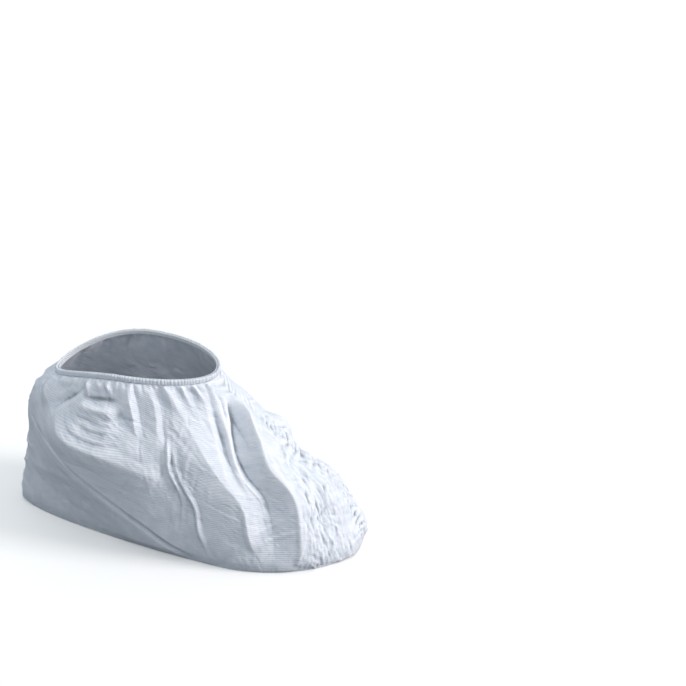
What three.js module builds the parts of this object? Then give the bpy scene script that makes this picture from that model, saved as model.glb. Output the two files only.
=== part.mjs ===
// Disposable overshoe of spunbond nonwoven cloth, standing open in the form that a foot gives it.
// Millimetres. +X is the toe, -Y the outer side, +Z up, and the flat sole lies on Z = 0.
import * as THREE from "three";

// Cloth and clearances
const WALL = 1.2;
const GAP = 0.3;

// Seams: two cloth edges overlocked together, standing inwards from the surface
const SEAM_WIDTH = 2.0;
const SEAM_DEPTH = 5.0;
const SEAM_RECESS = 0.6;
const SEAM_CORNER = 7.0;
const EDGE = SEAM_WIDTH / 2 + GAP;
const SOLE_SEAM_INSET = WALL + 2 * GAP;

// Valley along the front and heel seams, where the stitches draw the cloth in
const SEAM_VALLEY = 2.5;
const SEAM_VALLEY_WIDTH = 9.0;

// Ankle hem and its elastic
const HEM_HEIGHT = 4.6;
const HEM_THICKNESS = 2.2;
const HEM_BULGE = 0.4;
const HEM_SET_IN = 0.4;
const ELASTIC_HEIGHT = 3.4;
const ELASTIC_THICKNESS = 1.0;

// Gathers below the hem
const GATHERS_PER_PANEL = 13;
const GATHER_DEPTH = 2.0;
const GATHER_REACH = 0.3;
const GATHER_AT_HEM = 0.4;

// Parts of the wall's height over which the folds fade out at the hem and at the sole
const HEM_FADE = 0.08;
const SOLE_FADE = 0.2;

// Mesh density, and the steps used to measure the rings, their slopes and the lines of the folds
const COLUMNS = 56;
const WALL_ROWS = 15;
const SOLE_ROWS = 3;
const SOLE_STATIONS = 36;
const RING_SAMPLES = 240;
const SLOPE_STEP = 0.008;
const TURN_STEP = 0.02;
const FOLD_STATIONS = 12;

// The two halves of the cover and the two ends of their rings
const OUTER = -1;
const INNER = 1;
const FRONT = 0;
const HEEL = 1;

const CLOTH_COLOUR = 0xe6ecf4;
const SEAM_COLOUR = 0xdbe2ec;
const ELASTIC_COLOUR = 0xf0f1f2;
const CLOTH_ROUGHNESS = 0.85;
const SEAM_ROUGHNESS = 0.9;
const ELASTIC_ROUGHNESS = 0.7;

/** Turns rows of numbers into objects with the named columns. */
function table(columns, rows) {
  return rows.map((row) => Object.fromEntries(columns.map((name, k) => [name, row[k]])));
}

// Rings of the wall, from the hem down to the edge of the sole: where each starts and ends along the foot,
// where it is widest, how far it stands out on either side, its heights at front, side and back, how pointed
// its heel is on either side, how far its outer side is drawn in before the heel, how pointed its toe is on
// either side, and how many degrees towards the inner side the front seam lies from its foremost point.
const RINGS = table(
  [
    "front_x", "back_x", "mid_x", "outer_y", "inner_y", "front_z", "side_z", "back_z",
    "outer_heel", "inner_heel", "waist", "outer_toe", "inner_toe", "seam_turn",
  ],
  [
    [28, -111, -42, 37, 42, 146, 149, 130, 1.0, 1.0, 0, 1.0, 1.0, 8],
    [44, -126, -43, 48, 50, 118, 121, 121, 1.1, 1.0, 0, 1.06, 1.0, 16],
    [67, -135, -34, 54, 54, 102, 99, 101, 1.15, 0.95, 3, 1.11, 1.05, 14],
    [92, -138, -18, 57, 57, 83, 77, 78, 1.2, 0.9, 7, 1.17, 1.15, 11],
    [120, -143, 4, 59, 61, 62, 55, 54, 1.25, 0.85, 11, 1.2, 1.1, 17],
    [138, -147, 28, 60, 62, 36, 33, 32, 1.25, 0.8, 14, 1.2, 0.95, 11],
    [149, -150, 48, 61, 62, 12, 11, 10, 1.25, 0.78, 17, 1.2, 0.75, 1],
    [147, -148, 54, 59, 60, 0, 0, 0, 1.25, 0.78, 18, 1.2, 0.68, 0],
  ],
);

// Folds, each drawn from its top through a middle point to its foot. Round and down are percentages of the
// way from the front seam to the heel and from the hem to the sole. A height is positive for a ridge and
// negative for a valley; behind and ahead are the widths of its slopes towards the heel and the toe.
const FOLD_COLUMNS = [
  "top_round", "top_down", "mid_round", "mid_down", "foot_round", "foot_down", "top_h", "mid_h", "foot_h",
  "behind", "ahead",
];
const OUTER_FOLDS = table(FOLD_COLUMNS, [
  [90, 38, 70, 63, 45, 93, 0.0, 6.5, 0.0, 40, 90], // tension fold from the heel to the ball of the foot
  [78, 15, 68, 28, 50, 42, 0.0, 11.5, 0.0, 60, 32], // lower edge of the puffed pocket behind the ankle
  [69, 12, 60, 13, 52, 13, 1.6, 6.0, 1.0, 7, 8], // flat fold at the head of the pocket
  [86, 1, 85, 12, 79, 19, 0.6, 5.5, 2.4, 9, 17], // edge of the flat above the heel
  [48, 1, 46, 12, 45, 25, 0.8, 3.8, 0.4, 12, 6], // first pleat under the hem
  [41, 1, 39, 13, 40, 30, 0.6, 3.0, 0.3, 12, 5], // second pleat under the hem
  [37, 22, 41, 52, 42, 84, 0.5, 2.0, 0.4, 6, 7], // long thin crease
  [31, 2, 28, 42, 30, 79, 1.0, 6.7, 0.8, 30, 14], // rear ridge of the flat band
  [14, 5, 21, 30, 27, 54, -1.0, -3.2, -0.4, 8, 6], // valley along the band
  [9, 5, 15, 24, 24, 61, -2.0, -5.0, -1.0, 6, 24], // valley of the wide flat behind the toe
  [3, 12, 13, 42, 19, 88, 4.0, 12.0, 1.4, 26, 22], // ridge behind the toe
]);
const INNER_FOLDS = table(FOLD_COLUMNS, [
  [84, 38, 71, 62, 57, 92, 1.5, 5.0, 0.6, 24, 60], // tension fold from the heel
  [72, 20, 61, 34, 50, 42, 0.6, 2.6, 1.2, 24, 8], // lower edge of a pocket below the hem
  [48, 2, 46, 14, 44, 28, 0.6, 2.4, 0.5, 9, 6], // pleat under the hem
  [37, 2, 34, 24, 30, 60, 0.6, 2.6, 0.6, 10, 7], // long pleat at the ankle
  [28, 2, 22, 42, 18, 93, 0.6, 5.5, 0.4, 26, 15], // fold across the instep
  [21, 8, 17, 42, 15, 84, -0.6, -3.4, -0.3, 9, 8], // valley beside it
  [13, 6, 11, 48, 10, 95, 0.8, 4.0, 0.4, 16, 14], // fold behind the toe
  [12, 5, 12, 20, 11, 34, 1.0, 3.6, 0.2, 18, 16], // lobe beside the front seam below the hem
  [11, 33, 11, 41, 11, 48, 0.4, 7.0, 0.2, 14, 14], // ear that stands up below the lobe
  [11, 46, 11, 53, 10, 62, -0.4, -7.0, -0.6, 13, 13], // notch below the ear
  [10, 62, 9, 70, 8, 86, 0.3, 1.8, 0.2, 15, 15], // edge of the toe
]);

const { clamp, degToRad, lerp } = THREE.MathUtils;

/** Catmull-Rom value of a column of the rings at t, 0 at the hem and 1 at the edge of the sole. */
function ringValue(column, t) {
  const last = RINGS.length - 1;
  const place = clamp(t * last, 0, last - 1e-9);
  const row = Math.floor(place);
  const u = place - row;
  const at = (k) => RINGS[clamp(k, 0, last)][column];
  const [a, b, c, d] = [at(row - 1), at(row), at(row + 1), at(row + 2)];
  return b + 0.5 * u * (c - a + u * (2 * a - 5 * b + 4 * c - d + u * (3 * (b - c) + d - a)));
}

/** Point of a ring; angle 0 is its foremost point and positive angles lie on the inner side. */
function ringPoint(angle, t) {
  const c = Math.cos(angle);
  const s = Math.abs(Math.sin(angle));
  const ahead = c > 0;
  const side = angle > 0 ? INNER : OUTER;
  const mid = ringValue("mid_x", t);
  const reach = ahead ? ringValue("front_x", t) - mid : mid - ringValue("back_x", t);
  const half = ringValue(side === INNER ? "inner_y" : "outer_y", t);
  const power = ringValue(`${side === INNER ? "inner" : "outer"}_${ahead ? "toe" : "heel"}`, t);
  const waist = ahead || side === INNER ? 0 : ringValue("waist", t) * s * s * -c;
  const y = side * (half * s ** power - waist);
  const sideZ = ringValue("side_z", t);
  const endZ = ringValue(ahead ? "front_z" : "back_z", t);
  return new THREE.Vector3(mid + reach * c, y, lerp(sideZ, endZ, c * c));
}

const measuredRings = new Map();

/** Angles along half a ring, from the front seam to the heel, and the lengths up to them. */
function measureRing(t, side) {
  const key = `${t} ${side}`;
  if (!measuredRings.has(key)) {
    const start = degToRad(ringValue("seam_turn", t));
    const angles = [start];
    const lengths = [0];
    for (let k = 1; k <= RING_SAMPLES; k++) {
      angles.push(lerp(start, side * Math.PI, k / RING_SAMPLES));
      lengths.push(lengths[k - 1] + ringPoint(angles[k], t).distanceTo(ringPoint(angles[k - 1], t)));
    }
    measuredRings.set(key, { angles, lengths });
  }
  return measuredRings.get(key);
}

/** Smooth wall at u, the share of the way from the front seam to the heel, and at t. */
function smoothPoint(u, t, side) {
  const { angles, lengths } = measureRing(t, side);
  const goal = u * lengths[RING_SAMPLES];
  let k = 1;
  while (k < RING_SAMPLES && lengths[k] < goal) k++;
  const share = (goal - lengths[k - 1]) / (lengths[k] - lengths[k - 1]);
  return ringPoint(lerp(angles[k - 1], angles[k], share), t);
}

/** Way down the smooth wall. */
function downWay(u, t, side) {
  const below = smoothPoint(u, Math.min(t + SLOPE_STEP, 1), side);
  return below.sub(smoothPoint(u, Math.max(t - SLOPE_STEP, 0), side));
}

/** Outward unit normal of the smooth wall. */
function smoothNormal(u, t, side) {
  const ahead = smoothPoint(Math.min(u + SLOPE_STEP, 1), t, side);
  const along = ahead.sub(smoothPoint(Math.max(u - SLOPE_STEP, 0), t, side));
  return along.cross(downWay(u, t, side)).multiplyScalar(-side).normalize();
}

/** Stations along a fold, each with its place on the smooth wall and its height there. */
function foldLine(fold, side) {
  const line = [];
  for (let k = 0; k <= FOLD_STATIONS; k++) {
    const share = (2 * k) / FOLD_STATIONS;
    const [from, to, part] = share < 1 ? ["top", "mid", share] : ["mid", "foot", share - 1];
    const value = (name) => lerp(fold[`${from}_${name}`], fold[`${to}_${name}`], part);
    line.push({ place: smoothPoint(value("round") / 100, value("down") / 100, side), height: value("h") });
  }
  return line;
}

const FOLDS = {
  [OUTER]: OUTER_FOLDS.map((fold) => ({ ...fold, line: foldLine(fold, OUTER) })),
  [INNER]: INNER_FOLDS.map((fold) => ({ ...fold, line: foldLine(fold, INNER) })),
};

/** Height of one fold at a place of the smooth wall with the given normal. */
function foldHeight(fold, place, normal, side) {
  let nearest = Infinity;
  let height = 0;
  let width = fold.ahead;
  for (let k = 1; k < fold.line.length; k++) {
    const [start, end] = [fold.line[k - 1], fold.line[k]];
    const run = end.place.clone().sub(start.place);
    const away = place.clone().sub(start.place);
    const part = clamp(away.dot(run) / run.lengthSq(), 0, 1);
    const distance = away.clone().addScaledVector(run, -part).length();
    if (distance < nearest) {
      nearest = distance;
      height = lerp(start.height, end.height, part);
      width = run.cross(away).dot(normal) * -side > 0 ? fold.ahead : fold.behind;
    }
  }
  return height * Math.max(0, 1 - nearest / width);
}

/** Share of a fold's height that is left near the hem and the sole. */
function foldFade(t) {
  return clamp(t / HEM_FADE, 0, 1) * clamp((1 - t) / SOLE_FADE, 0, 1);
}

/** How far the cloth stands out from the smooth wall: gathers, folds and the drawn-in seams. */
function relief(u, t, side) {
  const place = smoothPoint(u, t, side);
  const normal = smoothNormal(u, t, side);
  const folded = FOLDS[side].reduce((sum, fold) => sum + foldHeight(fold, place, normal, side), 0);
  const wave = 0.5 - 0.5 * Math.cos(2 * Math.PI * GATHERS_PER_PANEL * u);
  const fullness = lerp(GATHER_AT_HEM, 1, clamp(t / HEM_FADE, 0, 1));
  const gathered = GATHER_DEPTH * wave * fullness * Math.max(0, 1 - t / GATHER_REACH) ** 2;
  const fromSeam = Math.min(...[FRONT, HEEL].map((end) => place.distanceTo(smoothPoint(end, t, side))));
  const nearSeam = Math.exp(-((fromSeam / SEAM_VALLEY_WIDTH) ** 2));
  return (gathered + folded * foldFade(t)) * (1 - nearSeam) - SEAM_VALLEY * nearSeam * foldFade(t);
}

/** Outer face of the cloth. */
function clothPoint(u, t, side) {
  return smoothPoint(u, t, side).addScaledVector(smoothNormal(u, t, side), relief(u, t, side));
}

/** Level way across the front or heel seam, towards the inner side. */
function seamAcross(end, t) {
  if (end === HEEL) return new THREE.Vector3(0, 1, 0);
  const angle = degToRad(ringValue("seam_turn", t));
  const way = ringPoint(angle + TURN_STEP, t).sub(ringPoint(angle - TURN_STEP, t));
  return way.setZ(0).normalize();
}

/** Way inwards from the front or heel seam. */
function seamInward(end, t) {
  const inward = seamAcross(end, t).cross(downWay(end, t, OUTER)).normalize();
  return end === FRONT ? inward : inward.negate();
}

/** Line of the front or heel seam, drawn in from the smooth wall. */
function seamPoint(end, t) {
  return smoothPoint(end, t, OUTER).addScaledVector(seamInward(end, t), SEAM_VALLEY * foldFade(t));
}

function geometryOf(points, faces) {
  const geometry = new THREE.BufferGeometry().setFromPoints(points);
  geometry.setIndex(faces.flat());
  geometry.computeVertexNormals();
  return geometry;
}

/** Closed shell: a skin, its copy moved inwards by the wall, and a rim that joins their borders. */
function shellGeometry(skin, faces, inwards) {
  const count = skin.length;
  const lining = skin.map((point, k) => point.clone().addScaledVector(inwards[k], WALL));
  const edges = new Set();
  for (const [a, b, c] of faces) {
    edges.add(`${a},${b}`).add(`${b},${c}`).add(`${c},${a}`);
  }
  const all = [...faces, ...faces.map(([a, b, c]) => [a + count, c + count, b + count])];
  for (const edge of edges) {
    const [a, b] = edge.split(",").map(Number);
    if (edges.has(`${b},${a}`)) continue;
    all.push([b, a, a + count], [b, a + count, b + count]);
  }
  return geometryOf([...skin, ...lining], all);
}

/** One half of the cover: its wall from the hem down and its half of the flat sole. */
function panelGeometry(side) {
  const rows = WALL_ROWS + SOLE_ROWS;
  const skin = [];
  const ids = [];
  const onHem = new Set();
  const acrossSeam = new Map();
  for (let i = 0; i <= COLUMNS; i++) {
    const u = i / COLUMNS;
    const atSeam = i === 0 || i === COLUMNS;
    const column = [];
    for (let j = 0; j <= rows; j++) {
      if (atSeam && j > WALL_ROWS) {
        column.push(column[WALL_ROWS]);
        continue;
      }
      const t = Math.min(j / WALL_ROWS, 1);
      const across = atSeam ? seamAcross(u, t) : new THREE.Vector3(0, 1, 0);
      const point = atSeam ? seamPoint(u, t).addScaledVector(across, side * EDGE) : clothPoint(u, t, side);
      if (j > WALL_ROWS) point.y = lerp(point.y, side * EDGE, (j - WALL_ROWS) / SOLE_ROWS);
      const id = skin.push(point) - 1;
      if (atSeam || j === rows) acrossSeam.set(id, across);
      column.push(id);
    }
    onHem.add(column[0]);
    ids.push(column);
  }
  const faces = [];
  for (let i = 0; i < COLUMNS; i++) {
    for (let j = 0; j < rows; j++) {
      const [a, b, c, d] = [ids[i][j], ids[i + 1][j], ids[i + 1][j + 1], ids[i][j + 1]];
      const pair = side === OUTER ? [[a, b, c], [a, c, d]] : [[a, c, b], [a, d, c]];
      faces.push(...pair.filter(([p, q, r]) => p !== q && q !== r && r !== p));
    }
  }
  const inwards = skin.map(() => new THREE.Vector3());
  for (const [a, b, c] of faces) {
    const normal = skin[b].clone().sub(skin[a]).cross(skin[c].clone().sub(skin[a]));
    for (const k of [a, b, c]) inwards[k].sub(normal);
  }
  inwards.forEach((way, k) => {
    if (acrossSeam.has(k)) way.projectOnPlane(acrossSeam.get(k));
    if (onHem.has(k)) way.z = 0;
    way.normalize();
  });
  return shellGeometry(skin, faces, inwards);
}

/** Closed bar through sections of equal point count; a ring joins its last section to its first. */
function barGeometry(sections, isRing) {
  const size = sections[0].length;
  const points = sections.flat();
  const faces = [];
  const spans = isRing ? sections.length : sections.length - 1;
  for (let i = 0; i < spans; i++) {
    for (let k = 0; k < size; k++) {
      const next = (k + 1) % size;
      const [a, b] = [i * size + k, i * size + next];
      const [c, d] = [((i + 1) % sections.length) * size + next, ((i + 1) % sections.length) * size + k];
      faces.push([a, b, c], [a, c, d]);
    }
  }
  if (!isRing) {
    const last = (sections.length - 1) * size;
    for (let k = 1; k < size - 1; k++) {
      faces.push([0, k + 1, k], [last, last + k, last + k + 1]);
    }
  }
  return geometryOf(points, faces);
}

/** Round the ankle once, from the front along the inner side to the heel and back along the outer side. */
function ankleLoop(pointAt) {
  const loop = [];
  for (let i = 0; i < COLUMNS; i++) loop.push(pointAt(i / COLUMNS, INNER));
  for (let i = COLUMNS; i > 0; i--) loop.push(pointAt(i / COLUMNS, OUTER));
  return loop;
}

/** Ring of a section, given as [outward, up] pairs, carried round the ankle. */
function ankleRing(loop, section) {
  const count = loop.length;
  const sections = loop.map((point, k) => {
    const way = loop[(k + 1) % count].clone().sub(loop[(k + count - 1) % count]);
    const outward = new THREE.Vector3(way.y, -way.x, 0).normalize();
    return section.map(([out, up]) => {
      const corner = point.clone().addScaledVector(outward, out);
      corner.z += up;
      return corner;
    });
  });
  return barGeometry(sections, true);
}

function hemGeometry() {
  const inner = -HEM_SET_IN - HEM_THICKNESS / 2;
  const outer = -HEM_SET_IN + HEM_THICKNESS / 2;
  const section = [
    [inner, GAP],
    [inner, GAP + HEM_HEIGHT],
    [outer - HEM_BULGE, GAP + HEM_HEIGHT],
    [outer, GAP + HEM_HEIGHT / 2],
    [outer - HEM_BULGE, GAP],
  ];
  return ankleRing(ankleLoop((u, side) => clothPoint(u, 0, side)), section);
}

function elasticGeometry() {
  const outer = -HEM_SET_IN - HEM_THICKNESS / 2 - GAP;
  const inner = outer - ELASTIC_THICKNESS;
  const low = GAP + (HEM_HEIGHT - ELASTIC_HEIGHT) / 2;
  const section = [
    [inner, low],
    [inner, low + ELASTIC_HEIGHT],
    [outer, low + ELASTIC_HEIGHT],
    [outer, low],
  ];
  return ankleRing(ankleLoop((u, side) => smoothPoint(u, 0, side)), section);
}

/** Flat bar along a seam, standing inwards; each station has a point, a way inwards and a way across. */
function seamGeometry(stations) {
  const half = SEAM_WIDTH / 2;
  const sections = stations.map(({ point, inward, across }) => {
    const top = point.clone().addScaledVector(inward, SEAM_RECESS);
    const root = point.clone().addScaledVector(inward, SEAM_RECESS + SEAM_DEPTH);
    return [[top, -half], [top, half], [root, half], [root, -half]].map(
      ([corner, reach]) => corner.clone().addScaledVector(across, reach),
    );
  });
  return barGeometry(sections, false);
}

/** Stations down the front or the heel, ending above the sole seam. */
function uprightStations(end) {
  const stations = [];
  for (let j = 0; j <= WALL_ROWS; j++) {
    const t = j / WALL_ROWS;
    const point = seamPoint(end, t);
    if (point.z < SEAM_CORNER) continue;
    stations.push({ point, inward: seamInward(end, t), across: seamAcross(end, t) });
  }
  return end === FRONT ? stations.reverse() : stations;
}

function soleStations() {
  const stations = [];
  const front = seamPoint(FRONT, 1).x - SOLE_SEAM_INSET;
  const back = seamPoint(HEEL, 1).x + SOLE_SEAM_INSET;
  for (let k = 0; k <= SOLE_STATIONS; k++) {
    const point = new THREE.Vector3(lerp(back, front, k / SOLE_STATIONS), 0, 0);
    stations.push({ point, inward: new THREE.Vector3(0, 0, 1), across: new THREE.Vector3(0, 1, 0) });
  }
  return stations;
}

function piece(name, geometry, colour, roughness) {
  const material = new THREE.MeshStandardMaterial({ color: colour, roughness, metalness: 0 });
  const mesh = new THREE.Mesh(geometry, material);
  mesh.name = name;
  return mesh;
}

const cover = new THREE.Group();
cover.name = "shoe_cover";
cover.add(
  piece("side_panel_outer", panelGeometry(OUTER), CLOTH_COLOUR, CLOTH_ROUGHNESS),
  piece("side_panel_inner", panelGeometry(INNER), CLOTH_COLOUR, CLOTH_ROUGHNESS),
  piece("front_seam", seamGeometry(uprightStations(FRONT)), SEAM_COLOUR, SEAM_ROUGHNESS),
  piece("sole_seam", seamGeometry(soleStations()), SEAM_COLOUR, SEAM_ROUGHNESS),
  piece("heel_seam", seamGeometry(uprightStations(HEEL)), SEAM_COLOUR, SEAM_ROUGHNESS),
  piece("ankle_hem", hemGeometry(), CLOTH_COLOUR, CLOTH_ROUGHNESS),
  piece("ankle_elastic", elasticGeometry(), ELASTIC_COLOUR, ELASTIC_ROUGHNESS),
);

export default cover;
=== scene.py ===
# Disposable overshoe of embossed spunbond cloth, dressed over its solid frame.
import math

import bpy
import numpy as np
from mathutils import Matrix, Vector


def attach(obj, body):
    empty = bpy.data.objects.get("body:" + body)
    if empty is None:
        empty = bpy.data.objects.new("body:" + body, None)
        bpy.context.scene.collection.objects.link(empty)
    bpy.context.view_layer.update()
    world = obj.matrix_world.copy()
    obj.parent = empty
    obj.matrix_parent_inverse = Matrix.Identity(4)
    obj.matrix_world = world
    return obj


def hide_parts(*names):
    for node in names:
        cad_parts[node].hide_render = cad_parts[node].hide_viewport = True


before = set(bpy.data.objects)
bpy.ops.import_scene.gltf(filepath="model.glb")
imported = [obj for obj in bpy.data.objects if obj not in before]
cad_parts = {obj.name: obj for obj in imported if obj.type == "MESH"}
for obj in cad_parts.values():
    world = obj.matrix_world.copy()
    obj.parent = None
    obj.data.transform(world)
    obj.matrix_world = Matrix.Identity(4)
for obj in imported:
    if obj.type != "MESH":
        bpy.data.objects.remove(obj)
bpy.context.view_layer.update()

# Sizes are in millimetres, as in the part's source, and become metres when a mesh is made.
MM = 0.001
PERCENT = 100
OUTER = -1
INNER = 1

# Millimetres of flat cloth in one unit of a UV map
UV_UNIT = 100

# Points nearer than this, in metres, are merged
MERGE_DISTANCE = 1e-6
TINY = 1e-9

# Keeps a place inside the last cell of its grid
LAST_CELL = 1e-6

# Seeds of the random draws
OUTER_SEED = 23
INNER_SEED = 41
WANDER_SEED = 11
PUCKER_SEED = 5
HEM_SEED = 7

# Cloth and seams
CLOTH = 0.8
SEAM_EDGE = 0.35
SEAM_VALLEY = 2.8
SEAM_VALLEY_WIDTH = 7
SEAM_FADE = 7
SEAM_WANDER = 0.35
SEAM_WANDER_STEP = 2.4
SEAM_WANDER_REACH = 5
ALLOWANCE_TOP = 0.9
ALLOWANCE_DEPTH = 5
ALLOWANCE_HALF = 0.45
ALLOWANCE_SECTION = 16
ALLOWANCE_POWER = 0.5
ALLOWANCE_STEP = 1.2
ALLOWANCE_TAPER = 2
SEAM_CORNER = 7
SOLE_SEAM_END = 1
SOLE_SEAM_POINTS = 120
THREAD_RADIUS = 0.16
OVERLOCK_PITCH = 2
OVERLOCK_START = 0.3
OVERLOCK_CLEAR = 0.22

# Waves of an allowance's free edge: height, pitch and phase
RUFFLES = [(0.45, 11, 0), (0.25, 4.7, 1)]

# Thread's way round an allowance, as shares of its depth and sides
OVERLOCK_CORNERS = [(0.5, -1), (1.04, -1), (1.04, 1), (0.5, 1)]

# Ankle hem and elastic
HEM_HEIGHT = 4.6
HEM_THICKNESS = 2.2
HEM_OUT = -0.4
HEM_PUFF = 0.75
HEM_UPPER_PUFF = 0.5
HEM_BEADS = 132
HEM_STEPS = 8
HEM_SECTION = 16
HEM_POWER = 0.62
HEM_INSET = 0.45
BEAD_LENGTHS = (0.65, 1.35)
BEAD_SIZES = (0.55, 1.15)
BEAD_POWER = 0.7
BEAD_SKEW = 0.35
ELASTIC_HEIGHT = 3.4
ELASTIC_THICKNESS = 1
ELASTIC_OUT = -2.3
ELASTIC_STEPS = 700
ELASTIC_SECTION = 32
ELASTIC_POWER = 0.4
ELASTIC_CORDS = 8
CORD_HEIGHT = 0.13
ELASTIC_RIPPLE = 0.12
ELASTIC_RIPPLE_PITCH = 2.2
GAP = 0.08

# Wall shape
BODY_MIDDLE = 60
LOOP_SAMPLES = 1600
SOLE_FADE = 0.12
SOLE_EDGE_FADE = 0.05
HEM_FADE = 5
HEM_EDGE = 2
FOLD_STEPS = 6
HEIGHT_FOCUS = 4
# Reach, in grid points, of the mean behind the painted shade in creases and painted highlight on ridges
VALLEY_REACH = 3
CREASE_ROUNDING = 0.3
CRINKLE_ROUNDING = 0.25

# Soft patches in side view: middle and radii, along the cover and up it
POCKET_PATCH = (-52, 112, 30, 20)
CRUSHED_PATCH = (-52, 112, 34, 22)
MIDDLE_PATCH = (4, 80, 16, 34)

# Edges of the toe, the front part and the upright crinkles, in millimetres or shares of the wall
TOE_EDGE = 12
TOE_TOP = 0.2
TOE_TOP_FADE = 0.2
FRONT_EDGE = 0.42
FRONT_FADE = 0.12
UPRIGHT_FROM_SEAM = 42
UPRIGHT_REACH = 15
UPRIGHT_TOP = 0.5
UPRIGHT_TOP_FADE = 0.2

# How crushed the cloth is, and how many upright crinkles it has, by place
CRUMPLE_LEAST = 0.2
CRUMPLE_FRONT = 0.3
CRUMPLE_MOST = 0.6
UPRIGHT_ON_TOE = 0.3
UPRIGHT_BY_RIDGE = 0.7
UPRIGHT_BY_SEAM = 0.8

# Fine gathers at the hem, and longer pleats that widen downwards
GATHERS = 70
GATHER_SPACINGS = (0.5, 1.5)
GATHER_HEIGHTS = (0.2, 0.9)
GATHER_REACHES = (4, 9)
GATHER_WIDTH = 1.5
PLEATS = 34
PLEAT_PLACES = (0.02, 0.98)
PLEAT_LEAN = 0.0004
PLEAT_REACHES = (10, 26)
LONG_PLEAT_SHARE = 0.3
LONG_PLEAT_STRETCH = 2
PLEAT_HEIGHTS = (0.6, 1.6)
PLEAT_WIDTHS = (1.6, 3.0)
PLEAT_WIDENING = 0.11
PLEAT_FADE = 0.8

# Puckers beside a seam: first and last place down the wall, and how they vary
PUCKER_FIRST = 6
PUCKER_LAST = 190
PUCKER_LENGTHS = (0.5, 1.3)
PUCKER_RISES = (0.4, 1.2)
PUCKER_SLOPE = 0.28
PUCKER_WIDTHS = (1.3, 2.4)
PUCKER_WIDENING = 0.1
PUCKER_SPACINGS = (0.6, 1.5)

# Pitch, reach and height of the puckers at the front and at the heel
FRONT_PUCKERS = (5.0, 16, 2.6)
HEEL_PUCKERS = (12, 22, 2.2)

# Scattered creases: how their lengths and widths vary
CREASE_LENGTHS = (0.5, 1.4)
CREASE_WIDTHS = (0.6, 1.6)

# Rows: patch, count, bearing, spread of the bearing, length, width, height
CREASES = [
    ("everywhere", 60, 60, 40, 30, 11, 0.35),
    ("everywhere", 80, 80, 50, 22, 2.2, 0.14),
    ("toe", 260, 90, 30, 7, 1.4, 0.34),
    ("pocket", 70, 10, 26, 7, 1.8, 0.22),
    ("middle", 70, 80, 24, 10, 1.7, 0.26),
]
TOE_RIDGE_CREASES = ("by_ridge", 150, 90, 9, 9, 1.2, 0.42)

# Facets of crushed paper: patch, spacing, stretch, height, and more height on the patch and the toe
FACETS = [
    ("pocket", 22, 1.3, 0.7, 1.2),
    ("middle", 8, 2, 0.08, 0.42),
]

# Mesh density of one half of the cover, and the share of its triangles kept when its lining is thinned
COLUMNS = 430
WALL_ROWS = 178
SOLE_ROWS = 12
KEPT_SHARE = 0.6

RING_COLUMNS = (
    "front_x", "back_x", "mid_x", "outer_y", "inner_y", "front_z", "side_z", "back_z",
    "outer_heel", "inner_heel", "waist", "outer_toe", "inner_toe", "seam_turn",
)
RINGS = np.array([
    (28, -111, -42, 37, 42, 146, 149, 130, 1, 1, 0, 1, 1, 8),
    (44, -126, -43, 48, 50, 118, 121, 121, 1.1, 1, 0, 1.06, 1, 16),
    (67, -135, -34, 54, 54, 102, 99, 101, 1.15, 0.95, 3, 1.11, 1.05, 14),
    (92, -138, -18, 57, 57, 83, 77, 78, 1.2, 0.9, 7, 1.17, 1.15, 11),
    (120, -143, 4, 59, 61, 62, 55, 54, 1.25, 0.85, 11, 1.2, 1.1, 17),
    (138, -147, 28, 60, 62, 36, 33, 32, 1.25, 0.8, 14, 1.2, 0.95, 11),
    (149, -150, 48, 61, 62, 12, 11, 10, 1.25, 0.78, 17, 1.2, 0.75, 1),
    (147, -148, 54, 59, 60, 0, 0, 0, 1.25, 0.78, 18, 1.2, 0.68, 0),
], float)

# Ridges behind the toe: percentages of the way from the front seam and of the way down, and heights
OUTER_TOE_RIDGE = [
    (7, 14, 0), (9.8, 22, 3), (11.6, 29, 6.5), (13, 36, 11.5), (14.6, 42, 13), (16.4, 50, 13),
    (18.5, 64, 11), (19.5, 76, 6.5), (19.5, 90, 1),
]
INNER_TOE_RIDGE = [(13, 6, 0.8), (12, 26, 3), (11, 48, 4), (10, 66, 4), (10, 84, 2), (10, 95, 0.4)]

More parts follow.
